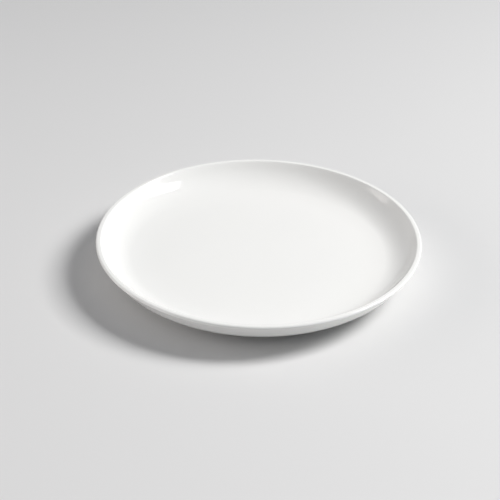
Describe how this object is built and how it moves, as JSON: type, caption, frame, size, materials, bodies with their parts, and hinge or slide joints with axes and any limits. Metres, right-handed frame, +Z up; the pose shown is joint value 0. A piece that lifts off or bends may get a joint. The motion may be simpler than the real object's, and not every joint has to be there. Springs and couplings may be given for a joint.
{
  "type": "coupe dinner plate",
  "caption": "Round white porcelain coupe plate with a flat well, a wall that curves up to a rounded lip, a glossy glaze and a low foot ring with a bare standing edge.",
  "frame": {"origin": "centre of the plate on the plane that it stands on", "axes": "+Z up along the plate's axis, out of the face; +X and +Y lie in the plane of the table"},
  "size_m": [0.27, 0.27, 0.03],
  "materials": {
    "bare_porcelain": "matte fired clay",
    "white_glaze": "gloss"
  },
  "bodies": {
    "root": {"porcelain_body": "bare_porcelain", "face_glaze": "white_glaze", "base_glaze": "white_glaze"}
  },
  "joints": []
}
